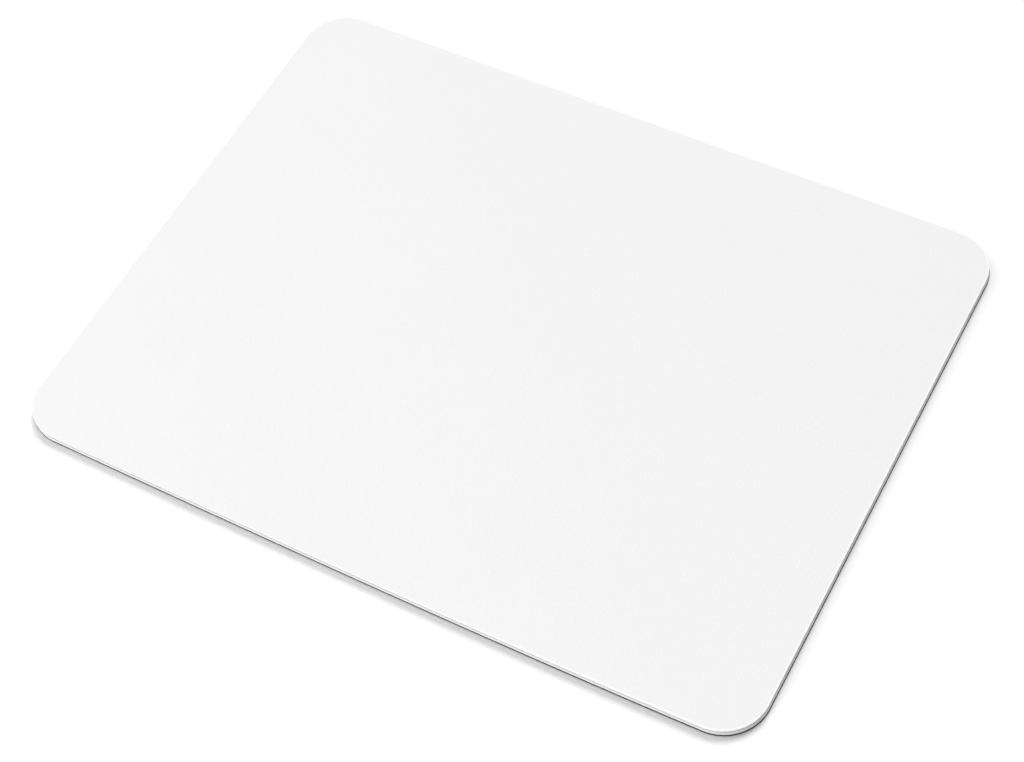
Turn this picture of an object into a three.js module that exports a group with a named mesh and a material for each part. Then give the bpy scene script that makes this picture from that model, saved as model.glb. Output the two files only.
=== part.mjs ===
// A mouse pad: six thin sheets, bonded face to face into one flat slab and cut by one die
// to a rectangle with round corners. Units are millimetres. The origin is the middle of the
// underside; +X runs along the long side, +Y points away from the user and +Z is up.
import * as THREE from 'three';

// The die that cuts every sheet.
const padWidth = 260;
const padDepth = 200;
const cornerRadius = 15;
const cornerSteps = 16;

// The sheets' thicknesses, from the desk up.
const gripBaseThickness = 0.6;
const lowerGlueThickness = 0.1;
const foamCoreThickness = 1.2;
const upperGlueThickness = 0.1;
const backingClothThickness = 0.6;
const surfaceSkinThickness = 0.4;

// What each sheet is made of.
const darkRubber = { color: 0x4a4a4b, roughness: 0.85, metalness: 0 };
const clearGlue = { color: 0xdcdbd6, roughness: 0.4, metalness: 0 };
const whiteFoam = { color: 0xefefee, roughness: 0.9, metalness: 0 };
const greyCloth = { color: 0xb4b4b4, roughness: 0.95, metalness: 0 };
const whiteSkin = { color: 0xf4f4f4, roughness: 0.55, metalness: 0 };

// The sheets in the order in which they lie on the desk.
const sheets = [
  { name: 'grip_base', thickness: gripBaseThickness, finish: darkRubber },
  { name: 'lower_glue_film', thickness: lowerGlueThickness, finish: clearGlue },
  { name: 'foam_core', thickness: foamCoreThickness, finish: whiteFoam },
  { name: 'upper_glue_film', thickness: upperGlueThickness, finish: clearGlue },
  { name: 'backing_cloth', thickness: backingClothThickness, finish: greyCloth },
  { name: 'surface_skin', thickness: surfaceSkinThickness, finish: whiteSkin },
];

// The die's outline, anticlockwise from above: four quarter circles, joined by straight sides.
function dieOutline() {
  const outline = new THREE.Shape();
  const cornerX = padWidth / 2 - cornerRadius;
  const cornerY = padDepth / 2 - cornerRadius;
  const quarter = Math.PI / 2;
  const corners = [[1, 1], [-1, 1], [-1, -1], [1, -1]];
  corners.forEach(([sideX, sideY], turn) => {
    const start = turn * quarter;
    outline.absarc(sideX * cornerX, sideY * cornerY, cornerRadius, start, start + quarter, false);
  });
  outline.closePath();
  return outline;
}

// A blank of unit thickness in the die's outline. Each sheet stretches it to its own thickness,
// so the top of one sheet and the bottom of the next are the same plane.
// An arc is drawn with two steps for each segment asked for.
function dieBlank() {
  return new THREE.ExtrudeGeometry(dieOutline(), {
    depth: 1,
    bevelEnabled: false,
    curveSegments: cornerSteps / 2,
  });
}

const mousePad = new THREE.Group();
mousePad.name = 'mouse_pad';
const blank = dieBlank();
let level = 0;
for (const sheet of sheets) {
  const mesh = new THREE.Mesh(blank, new THREE.MeshStandardMaterial(sheet.finish));
  mesh.name = sheet.name;
  mesh.position.z = level;
  mesh.scale.z = sheet.thickness;
  mousePad.add(mesh);
  level += sheet.thickness;
}

export default mousePad;
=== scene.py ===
# %% [markdown]
# A white mouse pad, built up from its six sheets.
# The solids come in first, as a fixed frame in metres, and every sheet made below takes its size and its
# height from them. The box round the solids is kept as well.

# %% Load the frame
import math

import bpy
from mathutils import Matrix, Vector, noise
from mathutils.geometry import delaunay_2d_cdt


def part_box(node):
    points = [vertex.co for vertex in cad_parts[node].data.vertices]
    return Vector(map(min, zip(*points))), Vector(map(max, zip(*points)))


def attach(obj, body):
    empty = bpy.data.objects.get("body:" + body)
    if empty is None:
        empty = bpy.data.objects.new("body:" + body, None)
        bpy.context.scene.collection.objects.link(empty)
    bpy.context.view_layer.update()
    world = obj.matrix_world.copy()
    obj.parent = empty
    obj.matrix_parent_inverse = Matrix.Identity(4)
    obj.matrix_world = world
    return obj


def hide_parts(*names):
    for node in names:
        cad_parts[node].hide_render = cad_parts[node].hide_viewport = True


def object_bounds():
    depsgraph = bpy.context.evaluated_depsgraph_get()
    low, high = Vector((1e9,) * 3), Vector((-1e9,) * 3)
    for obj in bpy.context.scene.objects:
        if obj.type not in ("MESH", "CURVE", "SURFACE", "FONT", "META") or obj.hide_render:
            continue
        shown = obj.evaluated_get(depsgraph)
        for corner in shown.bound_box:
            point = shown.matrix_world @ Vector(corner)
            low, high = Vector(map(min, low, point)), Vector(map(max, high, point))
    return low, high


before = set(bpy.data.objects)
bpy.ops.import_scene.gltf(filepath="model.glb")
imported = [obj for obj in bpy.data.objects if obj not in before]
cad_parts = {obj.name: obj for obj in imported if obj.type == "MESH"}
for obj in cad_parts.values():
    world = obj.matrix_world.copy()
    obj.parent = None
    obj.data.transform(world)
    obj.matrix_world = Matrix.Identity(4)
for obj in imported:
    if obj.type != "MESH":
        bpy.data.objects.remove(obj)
solid_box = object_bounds()
MM = 0.001
pad_top = solid_box[1].z
print(len(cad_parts), "solids in", [round(side / MM, 2) for side in solid_box[1] - solid_box[0]], "mm")

# %% [markdown]
# The camera looks down on the pad from the front right, rolled a little to one side.
# A view can be set by eye, or worked out from the four straight sides of the pad, whose real lengths are
# known. The second way gave the numbers here, so the sides fall on those of the picture to a pixel.
# The camera's own right, up and backward directions are the columns of its matrix.

# %% Camera
camera_place = Vector((235.30 * MM, -356.37 * MM, 591.07 * MM + pad_top))
camera_aim = Vector((8.757 * MM, -16.835 * MM, pad_top))
camera_roll = math.radians(-6.757)
sensor_width, focal_length = 36.0, 78.53


def put_in_scene(name, data):
    thing = bpy.data.objects.new(name, data)
    bpy.context.collection.objects.link(thing)
    return thing


sight = (camera_aim - camera_place).normalized()
level_right = sight.cross(Vector((0, 0, 1))).normalized()
level_up = level_right.cross(sight)
rolled_right = level_right * math.cos(camera_roll) + level_up * math.sin(camera_roll)
rolled_up = level_up * math.cos(camera_roll) - level_right * math.sin(camera_roll)
facing = Matrix((rolled_right, rolled_up, -sight)).transposed().to_4x4()

lens = bpy.data.cameras.new("pad_camera")
lens.sensor_width = sensor_width
lens.lens = focal_length
camera = put_in_scene("pad_camera", lens)
camera.matrix_world = Matrix.Translation(camera_place) @ facing
bpy.context.scene.camera = camera
bpy.context.scene.view_settings.view_transform = "Standard"
print("camera", [round(v / MM, 1) for v in camera_place], "mm, lens", focal_length, "mm")


# %% [markdown]
# Every finish below is a network of shader nodes. Placing and linking nodes one by one makes long code
# that hides the idea, so a small class stands for one socket, and sums written with it add the Math
# nodes by themselves. One method, add, makes any other node: first its settings, then its sockets, each
# of them a value or another wire. Colours go through a Mix node, because a Math node would grey them.

# %% A socket that can be used in sums
class Wire:
    def __init__(self, socket):
        self.socket = socket
        self.tree = socket.id_data

    @staticmethod
    def add(tree, kind, settings=None, sockets=None, out=None):
        node = tree.nodes.new(kind)
        for name, value in (settings or {}).items():
            setattr(node, name, value)
        for name, value in (sockets or {}).items():
            socket = next(s for s in node.inputs if name in (s.identifier, s.name))
            if isinstance(value, Wire):
                tree.links.new(value.socket, socket)
            else:
                socket.default_value = value
        found = [s for s in node.outputs if out in (None, s.identifier, s.name)]
        return Wire(found[0]) if found else None

    def also(self, out):
        return Wire(self.socket.node.outputs[out])

    def maths(self, operation, first, second):
        values = {"Value": first, "Value_001": second}
        return Wire.add(self.tree, "ShaderNodeMath", {"operation": operation}, values)

    def __add__(self, other):
        return self.maths("ADD", self, other)

    def __sub__(self, other):
        return self.maths("SUBTRACT", self, other)

    def __rsub__(self, other):
        return self.maths("SUBTRACT", other, self)

    def __mul__(self, other):
        return self.maths("MULTIPLY", self, other)

    def __or__(self, other):
        return self.maths("MAXIMUM", self, other)

    __radd__, __rmul__, __ror__ = __add__, __mul__, __or__

    def between(self, first, second):
        mix = {"Factor_Float": self, "A_Color": (*first, 1.0), "B_Color": (*second, 1.0)}
        return Wire.add(self.tree, "ShaderNodeMix", {"data_type": "RGBA"}, mix, "Result_Color")


print("Wire takes + - * |, from either side")

# %% [markdown]
# The pad lies in a bright white studio. A picture of a real studio could light it, but a plain white sky
# gives the same soft light with nothing to load. What the camera sees of it, straight or in a gloss, is
# full white. What falls on the pad is only a share of that, so that the white surfaces don't burn out.

# %% Sky
WHITE = (1.0, 1.0, 1.0)
sky_share = 0.295


def empty_tree(owner):
    owner.use_nodes = True
    owner.node_tree.nodes.clear()
    return owner.node_tree


def looked_at(tree):
    camera_ray = Wire.add(tree, "ShaderNodeLightPath", out="Is Camera Ray")
    return camera_ray | camera_ray.also("Is Glossy Ray") | camera_ray.also("Is Transmission Ray")


sky = bpy.data.worlds.new("white_sky")
bpy.context.scene.world = sky
sky_tree = empty_tree(sky)
sky_strength = sky_share + (1.0 - sky_share) * looked_at(sky_tree)
sky_glow = Wire.add(
    sky_tree, "ShaderNodeBackground", sockets={"Color": (*WHITE, 1.0), "Strength": sky_strength}
)
Wire.add(sky_tree, "ShaderNodeOutputWorld", sockets={"Surface": sky_glow})
print("sky", len(sky_tree.nodes), "nodes")

# %% [markdown]
# Three lamps do the rest. A wide sun behind the pad throws a narrow shadow forward. A lamp on the left
# leaves the right side a little darker, and falls off gently across the pad. One more, low in front,
# lights the cut edge. A lamp's power could be found by trial, but then each change upsets the others.
# Here a lamp gets its share of the light on the table, and its power follows from its height.

# %% Lamps
lamp_distance = 2.0
back_share, left_share, front_share = 0.56, 0.155, 0.085
sun_spread, left_disc, front_disc = math.radians(36.0), 1.2, 0.5


def hang_lamp(name, kind, towards, rise, share):
    rise = math.radians(rise)
    flat = Vector(towards).normalized() * math.cos(rise)
    ray = Vector((*flat, math.sin(rise)))
    light = bpy.data.lights.new(name, kind)
    disc_power = math.pi * lamp_distance ** 2 if kind == "AREA" else 1.0
    light.energy = share * math.pi / math.sin(rise) * disc_power
    lamp = put_in_scene(name, light)
    lamp.location = ray * lamp_distance
    lamp.rotation_euler = ray.to_track_quat("Z", "Y").to_euler()
    lamp.visible_camera = False
    return light


back_sun = hang_lamp("back_sun", "SUN", towards=(-0.16, 0.987), rise=46.5, share=back_share)
back_sun.angle = sun_spread
left_lamp = hang_lamp("left_lamp", "AREA", towards=(-0.95, -0.31), rise=50.0, share=left_share)
front_lamp = hang_lamp("front_lamp", "AREA", towards=(-0.28, -0.96), rise=9.0, share=front_share)
for light, disc in ((left_lamp, left_disc), (front_lamp, front_disc)):
    light.shape = "DISK"
    light.size = disc
print("light on the table", round(sky_share + back_share + left_share + front_share, 3))

# %% [markdown]
# The pad lies on a white table. It could be left out and its shadow painted, but a real surface takes the
# shadow by itself. One large square is enough. It lies a hair under the pad, so that the two don't meet.

# %% Table
table_reach, table_gap = 6.0, 0.01 * MM
table_mesh = bpy.data.meshes.new("table")
square = ((-1, -1), (1, -1), (1, 1), (-1, 1))
corners = [(x * table_reach, y * table_reach, -table_gap) for x, y in square]
table_mesh.from_pydata(corners, [], [(0, 1, 2, 3)])
table = put_in_scene("table", table_mesh)
print("table", 2 * table_reach, "m wide")

# %% [markdown]
# Under plain light a white table still comes out a little grey. More light would burn out the pad, so the
# table glows instead, but only where it is looked at, and not as a lamp: faintly near the pad, and more
# and more away from it, until it runs into the white of the sky with no horizon to be seen.

# %% Table paint
BLACK, table_grey = (0.0, 0.0, 0.0), (0.96, 0.96, 0.96)
near_glow, glow_start, glow_end = 0.05, 0.28, 0.80
table_paint = bpy.data.materials.new("table_paint")
table_tree = empty_tree(table_paint)
table_place = Wire.add(table_tree, "ShaderNodeTexCoord", out="Object")
table_radius = Wire.add(
    table_tree, "ShaderNodeVectorMath", {"operation": "LENGTH"}, {"Vector": table_place}, "Value"
)
far_off = Wire.add(
    table_tree, "ShaderNodeMapRange", {"interpolation_type": "SMOOTHSTEP"},
    {"Value": table_radius, "From Min": glow_start, "From Max": glow_end}, "Result",
)
table_glow = looked_at(table_tree) * (near_glow + (1.0 - near_glow) * far_off)
table_surface = Wire.add(table_tree, "ShaderNodeBsdfPrincipled", sockets={
    "Base Color": (*table_grey, 1.0), "Roughness": 1.0, "Specular IOR Level": 0.0,
    "Emission Color": table_glow.between(BLACK, WHITE), "Emission Strength": 1.0,
})
Wire.add(table_tree, "ShaderNodeOutputMaterial", sockets={"Surface": table_surface})
table_mesh.materials.append(table_paint)
print("table paint", len(table_tree.nodes), "nodes")

# %% [markdown]
# All six sheets are glued up as one board and then struck out with one steel die, so they share one
# outline: straight sides and four equal round corners. It could be traced from a picture, but the box
# round the solids and one radius say all of it, and give the length and the area of the cut as well.

# %% The die's outline
half_width = (solid_box[1].x - solid_box[0].x) / 2
half_depth = (solid_box[1].y - solid_box[0].y) / 2
corner_radius = 15.0 * MM
straight_x, straight_y = half_width - corner_radius, half_depth - corner_radius
cut_length = 4 * (straight_x + straight_y) + 2 * math.pi * corner_radius
cut_area = 4 * half_width * half_depth - (4 - math.pi) * corner_radius ** 2


def inside(place, margin):
    over_x = max(abs(place.x) - straight_x, 0.0)
    over_y = max(abs(place.y) - straight_y, 0.0)
    return math.hypot(over_x, over_y) <= corner_radius - margin


print("die line", round(cut_length / MM, 1), "mm long, round", round(1e4 * cut_area, 1), "square cm")

# %% [markdown]
# The soft board gives as it is cut. On this pad the front side is left bowed out by almost a millimetre,
# most of it right of the middle. A bevelled curve could draw such a line, but its points would be hard to
# move later. So the line is walked anticlockwise in small steps, a corner and then the straight side
# after it, four times. Each step keeps its place, the way outwards and the length walked so far.

# %% Walk along the cut
front_bow, bow_lean = 0.92 * MM, 0.35


def bowed(x):
    along = x / straight_x
    return front_bow * (1 - along ** 2) * (1 + bow_lean * along)


def die_line(step):
    places = []
    for quarter, (side_x, side_y) in enumerate(((1, 1), (-1, 1), (-1, -1), (1, -1))):
        centre = Vector((side_x * straight_x, side_y * straight_y))
        bends = round(corner_radius * math.pi / 2 / step)
        for i in range(bends):
            turn = math.pi / 2 * (quarter + i / bends)
            out = Vector((math.cos(turn), math.sin(turn)))
            places.append((centre + corner_radius * out, out))
        turn = math.pi / 2 * (quarter + 1)
        out = Vector((round(math.cos(turn)), round(math.sin(turn))))
        length = 2 * (straight_y if quarter % 2 else straight_x)
        strides = round(length / step)
        for i in range(strides):
            place = centre + corner_radius * out + length * i / strides * Vector((-out.y, out.x))
            if out.y < 0:
                place.y -= bowed(place.x)
            places.append((place, out))
    line, run, last = [], 0.0, places[0][0]
    for place, out in places:
        run += (place - last).length
        line.append((place, out, run))
        last = place
    return line


print("the cut takes", len(die_line(MM)), "steps of a millimetre")

# %% [markdown]
# A sheet is a stack of rings that follow the outline, closed by a flat face above and below. One face
# with thousands of corners would do, but it falls apart into slivers. So each face is filled with a net
# of triangles over a loose grid of points. The net is worked out in millimetres, and points that lie
# nearer than a millionth of one count as the same. Triangles that fall in a hole are left out.

# %% Fill a flat face with triangles
grid_spacing, grid_margin = 5 * MM, 3 * MM
INSIDE_ONLY, SAME_POINT, HOLE = 1, 1e-6, 1
MM_PER_METRE = 1000


def loose_grid():
    columns, rows = round(half_width / grid_spacing), round(half_depth / grid_spacing)
    places = [(i, j) for i in range(-columns, columns + 1) for j in range(-rows, rows + 1)]
    grid = [Vector((i * grid_spacing, j * grid_spacing)) for i, j in places]
    return [place for place in grid if inside(place, grid_margin)]


def net(rim, inner=(), hole=()):
    points = [MM_PER_METRE * place for place in (*rim, *hole, *inner)]
    loops = [list(range(len(rim)))]
    if hole:
        loops.append(list(range(len(rim), len(rim) + len(hole))))
    _, _, faces, sources, _, within = delaunay_2d_cdt(points, [], loops, INSIDE_ONLY, SAME_POINT)
    kept = [face for face, owners in zip(faces, within) if HOLE not in owners]
    return [[sources[corner][0] for corner in face] for face in kept]


face_grid = loose_grid()
print("grid of", len(face_grid), "points in a flat face")

# %% [markdown]
# Each sheet also gets a map that lays its surface out flat, so that its finishes can be baked to pictures.
# A ready-made unwrap would give the thin cut edge almost no room. Here the wall is laid out in
# long rows, one above the other and drawn out in height. A face that shows takes most of the map, and
# a face that another sheet covers shrinks to a corner of it.

# %% Lay a sheet out flat
WALL_ROWS = 8
map_margin, map_width = 0.01, 0.98
row_start, row_fill = 0.05, 0.85
SHOWN_FACE, COVERED_FACE = (map_margin, map_margin, map_width), (map_margin, 0.955, 0.05)
EQUAL_FACES = {"top": (map_margin, map_margin, 0.30), "bottom": (0.51, map_margin, 0.30)}


def lay_out(mesh, count, rings, tops, shown):
    rooms, wall_floor, wall_roof = EQUAL_FACES, 0.30, 0.92
    if shown:
        rooms = {side: SHOWN_FACE if side == shown else COVERED_FACE for side in ("top", "bottom")}
        wall_floor, wall_roof = 0.78, 0.95
    row_height = (wall_roof - wall_floor) / WALL_ROWS
    layer = mesh.uv_layers.new(name="OFBake").data
    walls = count * (rings - 1)
    for face in mesh.polygons:
        if face.index < walls:
            ring, i = divmod(face.index, count)
            row = i * WALL_ROWS // count
            first, last = (math.ceil(r * count / WALL_ROWS) for r in (row, row + 1))
            for loop, (across, up) in zip(face.loop_indices, ((0, 0), (1, 0), (1, 1), (0, 1))):
                along = (i + across - first) / (last - first)
                rise = row + row_start + row_fill * (ring + up) / (rings - 1)
                layer[loop].uv = map_margin + map_width * along, wall_floor + row_height * rise
        else:
            left, low, width = rooms["top" if face.index < walls + tops else "bottom"]
            scale = width / (2 * half_width)
            for loop in face.loop_indices:
                place = mesh.vertices[mesh.loops[loop].vertex_index].co
                across, up = place.x + half_width, place.y + half_depth + front_bow
                layer[loop].uv = left + scale * across, low + scale * up


print("maps with", WALL_ROWS, "rows of wall")

# %% [markdown]
# A cut through soft sheets is never quite upright. Under the press the lower sheets slip to the right,
# here by a third of a millimetre, and flare out by a hair. Each sheet could be moved by hand afterwards,
# but then its wall would still stand straight. So every ring is moved by how deep it lies. A profile
# lists a sheet's rings as heights and insets, and a stray adds what its own material does at the cut.

# %% Walls and flat faces
flare, slip = 0.02 * MM, Vector((0.36 * MM, -0.04 * MM))


def levels(node):
    low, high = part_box(node)
    return low.z, high.z


def wall_points(line, profile, stray):
    points = []
    for height, inset in profile:
        depth = 1 - height / pad_top
        for place, out, run in line:
            proud = stray(Vector((*place, height)), run) - inset
            edge = place + out * proud + (out * flare + slip) * depth
            points.append(Vector((*edge, height)))
    return points


def flat_face(points, rim, height):
    corners = [*rim, *range(len(points), len(points) + len(face_grid))]
    triangles = net([points[i].xy for i in rim], face_grid)
    points += [Vector((*place, height)) for place in face_grid]
    return [[corners[i] for i in face] for face in triangles]


print("the lowest ring lies", round(slip.x / MM, 2), "mm to the right")


# %% [markdown]
# One builder makes all six sheets, just as one press makes them all. Six scaled boxes would be shorter,
# but they would share one plain wall. Here each sheet brings its own profile and stray. The rings are
# joined by a smooth wall, a flat face closes them above and below, and the sheet is put in the frame.

# %% Build one sheet
def make_sheet(name, step, profile, stray, shown=None, underside=flat_face):
    line = die_line(step)
    count, rings = len(line), len(profile)
    walls = count * (rings - 1)
    points = wall_points(line, profile, stray)
    faces = []
    for low in range(0, walls, count):
        for i in range(count):
            j = (i + 1) % count
            faces.append((low + i, low + j, low + count + j, low + count + i))
    tops = flat_face(points, range(walls, walls + count), profile[-1][0])
    bottoms = underside(points, range(count), profile[0][0])
    faces += tops + [face[::-1] for face in bottoms]
    mesh = bpy.data.meshes.new(name)
    mesh.from_pydata(points, [], faces)
    mesh.polygons.foreach_set("use_smooth", [i < walls for i in range(len(faces))])
    lay_out(mesh, count, rings, len(tops), shown)
    sheet = put_in_scene(name, mesh)
    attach(sheet, "root")
    print(name, len(points), "points", len(faces), "faces")
    return sheet


print("ready to build", len(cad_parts), "sheets")

# %% [markdown]
# The lowest sheet is a mat of dark rubber that grips the table. Real ones are pressed with a fine
# pattern so that they don't slide. This one has a honeycomb of small flat pads with grooves between
# them, inside a plain border. A bump in the finish would do for a glance, but the pads are cut here as
# real geometry, because from below they are all that there is to see. First come the cells: rows of
# hexagons, every second row shifted by half a cell, and only those that stay clear of the border.

# %% Cells of the honeycomb
comb_pitch, border = 4.0 * MM, 4.0 * MM
row_share = math.sqrt(0.75)
spokes = [Vector((math.sin(i * math.pi / 3), -math.cos(i * math.pi / 3))) for i in range(6)]


def comb_cells():
    columns = round(half_width / comb_pitch) + 1
    rows = round(half_depth / comb_pitch / row_share) + 1
    for row in range(-rows, rows + 1):
        for column in range(-columns, columns + 1):
            centre = Vector(((column + row % 2 / 2) * comb_pitch, row * comb_pitch * row_share))
            corners = [centre + comb_pitch / math.sqrt(3) * spoke for spoke in spokes]
            if all(inside(corner, border) for corner in corners):
                yield centre, corners


print("honeycomb of", len(list(comb_cells())), "pads")

# %% [markdown]
# Each cell becomes a ring of groove, a short slope and a flat pad. The pads could be cut out of the sheet
# one by one with a Boolean modifier, but thousands of cuts are slow. So the faces are written down cell
# by cell. Neighbours share the points in their grooves, and the sides that no neighbour shares make the
# inner brink of the border.

# %% Cut the honeycomb
groove, foot_share, flat_share, brink_spread = 0.15 * MM, 0.80, 0.74, 1.0008
MICRONS_PER_METRE = 1e6


def honeycomb(points, rim, low):
    faces, shared, sides = [], {}, set()
    for centre, corners in comb_cells():
        outer = []
        for corner in corners:
            key = round(corner.x * MICRONS_PER_METRE), round(corner.y * MICRONS_PER_METRE)
            if key not in shared:
                shared[key] = len(points)
                points.append(Vector((*corner, low + groove)))
            outer.append(shared[key])
        foot = range(len(points), len(points) + 6)
        flat = range(len(points) + 6, len(points) + 12)
        points += [Vector((*centre.lerp(corner, foot_share), low + groove)) for corner in corners]
        points += [Vector((*centre.lerp(corner, flat_share), low)) for corner in corners]
        for i in range(6):
            j = (i + 1) % 6
            faces.append((outer[i], outer[j], foot[j], foot[i]))
            faces.append((foot[i], foot[j], flat[j], flat[i]))
            sides.add((outer[i], outer[j]))
        faces.append(tuple(flat))
    onward = {start: end for start, end in sides if (end, start) not in sides}
    loop = [min(onward)]
    while onward[loop[-1]] != loop[0]:
        loop.append(onward[loop[-1]])
    brink = range(len(points), len(points) + len(loop))
    points += [Vector((*(brink_spread * points[i].xy), low)) for i in loop]
    for i in range(len(loop)):
        j = (i + 1) % len(loop)
        faces.append((loop[j], loop[i], brink[i], brink[j]))
    names = [*rim, *brink]
    band = net([points[i].xy for i in rim], hole=[points[i].xy for i in brink])
    return faces + [tuple(names[i] for i in face) for face in band]


print("grooves", round(groove / MM, 2), "mm deep")

# %% [markdown]
# The rubber's own wall is rounded where it meets the table. Rubber creeps when it lies under a load, and
# on the right, where the sheets have slipped, it stands out a few hundredths more. A modifier could bevel
# the lower edge, but the profile does the same with rings that are placed where they are needed.

# %% Rubber base
base_low, base_high = levels("grip_base")
base_step, rubber_creep = 0.5 * MM, 0.07 * MM
base_profile = [
    (base_low, 0.10 * MM), (base_low + 0.06 * MM, 0.03 * MM), (base_low + 0.14 * MM, 0.0),
    (base_high - 0.08 * MM, 0.0), (base_high, 0.02 * MM),
]


def crept(spot, run):
    return rubber_creep * max(spot.x / half_width, 0.0)


base_sheet = make_sheet("base_sheet", base_step, base_profile, crept, shown="bottom", underside=honeycomb)

# %% [markdown]
# Each sheet gets a finish of its own, and all are made alike: a colour, a roughness and a fine relief that
# vary over the surface. They could be painted as pictures, but a pattern worked out from the pad's own
# coordinates is sharp at any distance and runs on round an edge. Two kinds are enough: clouds, from a
# noise, and cells, whose value is the distance from the middle. Scales are in grains to the metre.

# %% Patterns and a coat
def new_finish(name):
    material = bpy.data.materials.new(name)
    return material, Wire.add(empty_tree(material), "ShaderNodeTexCoord", out="Object")


def clouds(place, scale, detail):
    sockets = {"Vector": place, "Scale": scale, "Detail": detail}
    return Wire.add(place.tree, "ShaderNodeTexNoise", sockets=sockets, out="Fac")


def cells(place, scale, feature="F1"):
    sockets = {"Vector": place, "Scale": scale}
    return Wire.add(place.tree, "ShaderNodeTexVoronoi", {"feature": feature}, sockets, "Distance")


def coat(material, colour, roughness, relief, depth, strength, shine):
    tree = material.node_tree
    bump = Wire.add(
        tree, "ShaderNodeBump", sockets={"Height": relief, "Distance": depth, "Strength": strength}
    )
    surface = Wire.add(tree, "ShaderNodeBsdfPrincipled", sockets={
        "Base Color": colour, "Roughness": roughness, "Normal": bump, "Specular IOR Level": shine,
    })
    Wire.add(tree, "ShaderNodeOutputMaterial", sockets={"Surface": surface})
    print(material.name, len(tree.nodes), "nodes")


print("patterns: clouds and cells")

# %% [markdown]
# Rubber for such mats is dark, matt and slightly speckled, with a fine pebble left by the press, and the
# pads rub paler and smoother than the grooves. Wear could be a second material on the pads, but then it
# would end in a hard line. So it is read from the height above the table, and fades out up the slope.

# %% Rubber finish
rubber_dark, rubber_pale = (0.022, 0.022, 0.023), (0.085, 0.085, 0.087)
rubber, rubber_place = new_finish("grip_rubber_finish")
rubber_tree = rubber_place.tree
speckle = clouds(rubber_place, scale=1400.0, detail=3.0)
pebble = cells(rubber_place, scale=2200.0)
rubber_height = Wire.add(rubber_tree, "ShaderNodeSeparateXYZ", sockets={"Vector": rubber_place}, out="Z")
worn = Wire.add(
    rubber_tree, "ShaderNodeMapRange",
    sockets={"Value": rubber_height, "From Min": groove, "From Max": 0.0}, out="Result",
)
coat(
    rubber, colour=(0.45 * speckle + 0.55 * worn).between(rubber_dark, rubber_pale),
    roughness=0.80 + 0.15 * speckle - 0.2 * worn,
    relief=pebble + 0.5 * speckle, depth=0.04 * MM, strength=0.5, shine=0.2,
)
base_sheet.data.materials.append(rubber)

# %% [markdown]
# Two thin films of glue hold the sheets together. At the cut they show as fine lines, squeezed out a
# hair here and drawn back a hair there. A straight wall would look like a printed line, so the rings
# wander in and out by a few hundredths of a millimetre, led by a smooth noise that is the same each time.

# %% Glue films
glue_step, glue_edge, glue_belly = 0.5 * MM, 0.06 * MM, 0.04 * MM
squeeze, squeeze_length = 0.03 * MM, 2.2 * MM


def squeezed(spot, run):
    return squeeze * noise.noise(spot / squeeze_length)


def glue_profile(node):
    low, high = levels(node)
    return [(low, glue_edge), ((low + high) / 2, glue_belly), (high, glue_edge)]


lower_glue_sheet = make_sheet("lower_glue_sheet", glue_step, glue_profile("lower_glue_film"), squeezed)
upper_glue_sheet = make_sheet("upper_glue_sheet", glue_step, glue_profile("upper_glue_film"), squeezed)

# %% [markdown]
# Hot glue sets milky, glossier than the sheets, with cloudy patches where it has cooled unevenly. Clear
# glass with a tint would be closer to the real thing, but in a film this thin it can't be told from a
# smooth pale coat, which is quicker to render. One noise gives colour, gloss and relief together.

# %% Glue finish
glue_dull, glue_milky = (0.52, 0.51, 0.49), (0.74, 0.735, 0.72)
glue, glue_place = new_finish("glue_film_finish")
cloudy = clouds(glue_place, scale=320.0, detail=4.0)
coat(
    glue, colour=cloudy.between(glue_dull, glue_milky), roughness=0.28 + 0.25 * cloudy,
    relief=cloudy, depth=0.05 * MM, strength=0.4, shine=0.5,
)
for film in (lower_glue_sheet, upper_glue_sheet):
    film.data.materials.append(glue)

# %% [markdown]
# The core is closed-cell foam, the soft white middle of the pad and the widest line in its edge. The die
# squeezes it as it cuts, and when it springs back its wall is left a little hollow and uneven. A smooth
# wall with a bump would keep a straight outline against the light, so both are in the rings: a sine
# gives the hollow, a fine noise the torn cells, and a coarse one the slow waves of the cut.

# %% Foam core
core_low, core_high = levels("foam_core")
core_step, core_rings, core_inset, core_hollow = 0.45 * MM, 8, 0.05 * MM, 0.09 * MM
torn, torn_length, wave, wave_length = 0.025 * MM, 0.9 * MM, 0.02 * MM, 6.0 * MM


def cut_cells(spot, run):
    return torn * noise.noise(spot / torn_length) + wave * noise.noise(spot / wave_length)


core_profile = []
for ring in range(core_rings + 1):
    share = ring / core_rings
    hollow = core_inset + core_hollow * math.sin(math.pi * share)
    core_profile.append((core_low + share * (core_high - core_low), hollow))
core_sheet = make_sheet("core_sheet", core_step, core_profile, cut_cells)

# %% [markdown]
# Cut foam is a crowd of small cells, here a quarter of a millimetre wide, pale in the middle and greyer
# where two meet. Modelling each would take a great many faces for a line 1.2 mm high. A cell pattern in
# the finish gives them tone and depth instead, over soft patches from where the foam was pressed.

# %% Foam finish
foam_pale, foam_grey = (0.83, 0.83, 0.825), (0.69, 0.69, 0.685)
foam, foam_place = new_finish("white_foam_finish")
foam_cells = cells(foam_place, scale=4200.0)
patches = clouds(foam_place, scale=260.0, detail=2.0)
coat(
    foam, colour=(0.6 * foam_cells + 0.4 * patches).between(foam_pale, foam_grey),
    roughness=0.8 + 0.12 * patches, relief=foam_cells, depth=0.06 * MM, strength=0.6, shine=0.3,
)
core_sheet.data.materials.append(foam)

# %% [markdown]
# Over the foam lies a knitted backing cloth. The die cuts across its yarns, so its edge is a row of small
# rounded yarn ends, each about a millimetre wide. They could be an array of small beads, but these would
# be loose pieces. Here the length walked along the cut swells the rings once for every yarn, and the
# height swells them most in the middle. A whole number of yarns goes round.

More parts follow.
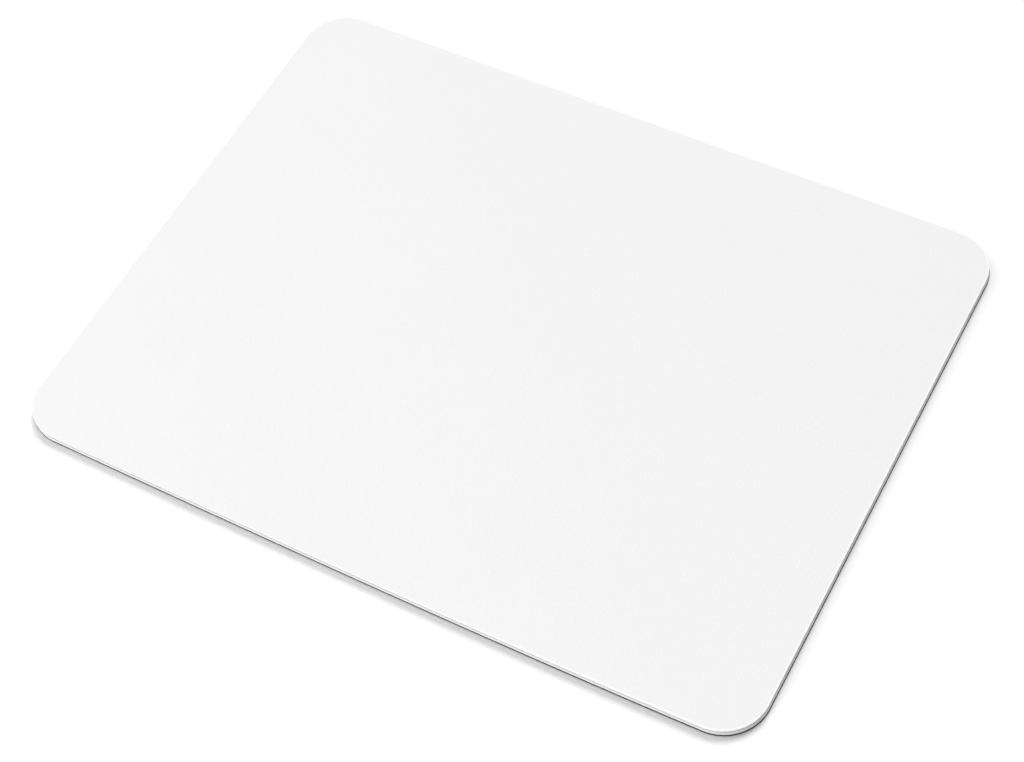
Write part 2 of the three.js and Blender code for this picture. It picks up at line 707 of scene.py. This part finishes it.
# %% Backing cloth
cloth_low, cloth_high = levels("backing_cloth")
cloth_step, cloth_rings, cloth_inset = 0.25 * MM, 6, 0.05 * MM
yarn_wish, yarn_swell, yarn_fray, fray_length = 1.0 * MM, 0.05 * MM, 0.02 * MM, 1.3 * MM
yarn_width = cut_length / round(cut_length / yarn_wish)


def yarn_ends(spot, run):
    belly = math.sin(math.pi * (spot.z - cloth_low) / (cloth_high - cloth_low))
    swell = abs(math.sin(math.pi * run / yarn_width))
    return belly * (yarn_swell * swell + yarn_fray * noise.noise(spot / fray_length))


cloth_profile = []
for ring in range(cloth_rings + 1):
    share = ring / cloth_rings
    cloth_profile.append((cloth_low + share * (cloth_high - cloth_low), cloth_inset))
cloth_sheet = make_sheet("cloth_sheet", cloth_step, cloth_profile, yarn_ends)

# %% [markdown]
# The cloth is left undyed and looks grey beside the film. Single fibres are far finer than a yarn, and
# real hair strands would be lost in a line this thin, so small cells stand for the cut fibres, their
# borders darkened as painted shade between the fibre ends, and a noise for the uneven tone of the yarn.
# All of it is rough, with hardly any shine.

# %% Cloth finish
cloth_light, cloth_shade = (0.57, 0.57, 0.57), (0.42, 0.42, 0.425)
cloth, cloth_place = new_finish("grey_cloth_finish")
fibres = cells(cloth_place, scale=3200.0)
tone = clouds(cloth_place, scale=700.0, detail=3.0)
coat(
    # The colour mixes painted shade at the cell borders with the yarn's random tone.
    cloth, colour=(0.5 * fibres + 0.6 * tone).between(cloth_light, cloth_shade),
    roughness=0.85 + 0.1 * tone, relief=fibres, depth=0.06 * MM, strength=0.6, shine=0.25,
)
cloth_sheet.data.materials.append(cloth)

# %% [markdown]
# On top is the white film that the hand runs on. The die drags its rim down, so the upper edge is rounded
# by a tenth of a millimetre, and that is what catches the light all round the pad. A bevel modifier would
# round it too, but the two flat rings behind the curve are needed as well: they hold the band of the rim
# that the next step paints with a highlight.

# %% White skin
skin_low, skin_high = levels("surface_skin")
skin_step, rim_round, rim_bends = 0.5 * MM, 0.10 * MM, 6
rim_width, rim_fade = 0.48 * MM, 0.12 * MM
drag, drag_length = 0.012 * MM, 5.0 * MM


def dragged(spot, run):
    return drag * noise.noise(spot / drag_length)


skin_profile = [(skin_low, 0.03 * MM), (skin_low + 0.04 * MM, 0.0)]
for ring in range(rim_bends + 1):
    bend = math.pi / 2 * ring / rim_bends
    skin_profile.append((skin_high - rim_round * (1 - math.sin(bend)), rim_round * (1 - math.cos(bend))))
# These two flat rings bound the band of the rim that gets the painted highlight.
skin_profile += [(skin_high, rim_width), (skin_high, rim_width + rim_fade)]
skin_sheet = make_sheet("skin_sheet", skin_step, skin_profile, dragged, shown="top")

# %% [markdown]
# The rim of the film is painted whiter than the rest, a painted highlight along the cut edge, stronger
# towards the right. The finish has to know where the rim is. A second material would end in a hard line,
# so each point carries a number instead: some painted highlight on the rim's rings, and none on the
# innermost one.

# %% Painted highlight on the rim
# Strength of the painted rim highlight: its level in the middle, and how much more it gets towards the
# right.
highlight_middle, highlight_toward_right = 0.45, 0.55
rim_points = len(die_line(skin_step)) * (len(skin_profile) - 1)
skin_points = skin_sheet.data.vertices
rim_highlight_values = []
for point in skin_points[:rim_points]:
    rim_highlight_values.append(max(highlight_middle + highlight_toward_right * point.co.x / half_width, 0.0))
# The painted highlight's strength is stored on the points.
painted_rim_highlight = skin_sheet.data.attributes.new("painted_rim_highlight", "FLOAT", "POINT")
painted_rim_highlight.data.foreach_set("value", rim_highlight_values + [0.0] * (len(skin_points) - rim_points))
print("rim white from", round(min(rim_highlight_values), 2), "to", round(max(rim_highlight_values), 2))

# %% [markdown]
# The film is matt and almost pure white. From a step away it looks plain, and close to, it has a very
# fine pebble, which keeps the hand from sticking. One flat colour would look like a sheet of paper. So
# rounded cells give the pebble, a slow drift keeps large areas from being quite even, and the number on
# the points adds a painted highlight along the rim.

# %% Skin finish
# The second colour is the white of the painted highlight on the rim.
skin_white, rim_highlight_white = (0.829, 0.829, 0.829), (0.94, 0.94, 0.94)
skin, skin_place = new_finish("white_skin_finish")
grain = cells(skin_place, scale=1700.0, feature="SMOOTH_F1")
drift = clouds(skin_place, scale=24.0, detail=3.0)
# This reads the painted rim highlight stored on the points.
rim = Wire.add(skin_place.tree, "ShaderNodeAttribute", {"attribute_name": "painted_rim_highlight"}, out="Fac")
coat(
    # The colour mixes random drift and grain with the painted rim highlight.
    skin, colour=(0.12 * drift + 0.14 * grain + 0.81 * rim).between(skin_white, rim_highlight_white),
    roughness=0.84 + 0.10 * drift, relief=grain, depth=0.065 * MM, strength=1.0, shine=0.15,
)
skin_sheet.data.materials.append(skin)

# %% [markdown]
# Last, each sheet takes the place of its solid, which is hidden. The pad could also be one joined mesh,
# but six pieces can be pulled apart again, as on a bench.

# %% Take the solids' places
sheets = [
    (base_sheet, "grip_base", "grip_rubber"),
    (lower_glue_sheet, "lower_glue_film", "glue_film"),
    (core_sheet, "foam_core", "white_foam"),
    (upper_glue_sheet, "upper_glue_film", "glue_film"),
    (cloth_sheet, "backing_cloth", "grey_cloth"),
    (skin_sheet, "surface_skin", "white_skin"),
]
for sheet, node, slot in sheets:
    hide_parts(node)
    2 * half_width
